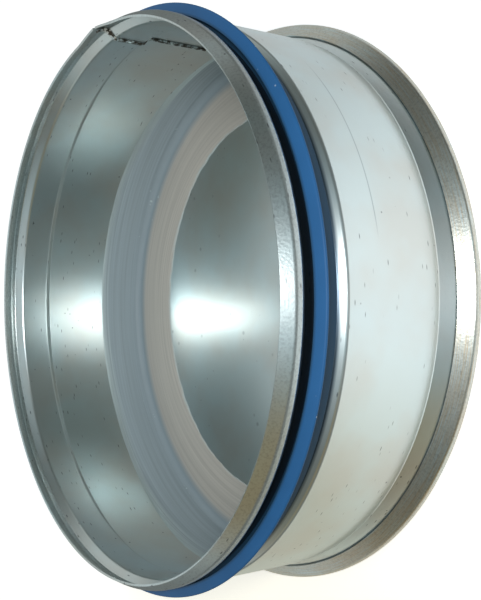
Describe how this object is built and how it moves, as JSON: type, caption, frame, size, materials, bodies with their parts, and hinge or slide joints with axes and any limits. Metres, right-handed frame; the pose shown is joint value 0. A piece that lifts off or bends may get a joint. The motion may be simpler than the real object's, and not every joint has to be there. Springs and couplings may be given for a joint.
{
  "type": "duct end cap",
  "caption": "Male end cap for round ventilation duct: a galvanised collar with a lipped rubber seal in its groove, closed by a hemmed disc and sealed round the inside corner.",
  "frame": {"origin": "centre of the closed end's outer face, on the collar's axis", "axes": "+Z along the collar's axis from the closed end towards the mouth; +X towards the collar's lengthwise weld"},
  "size_m": [0.1688, 0.1688, 0.0565],
  "materials": {
    "galvanised_steel": "bright zinc coating, faint rolling lines, small scuffs and dark specks",
    "blue_rubber": "moulded, satin, lightly dusted",
    "grey_sealant": "dried water-based compound with concentric brush streaks"
  },
  "bodies": {
    "root": {"collar": "galvanised_steel", "end_disc": "galvanised_steel", "sealing_ring": "blue_rubber", "sealant": "grey_sealant"}
  },
  "joints": []
}
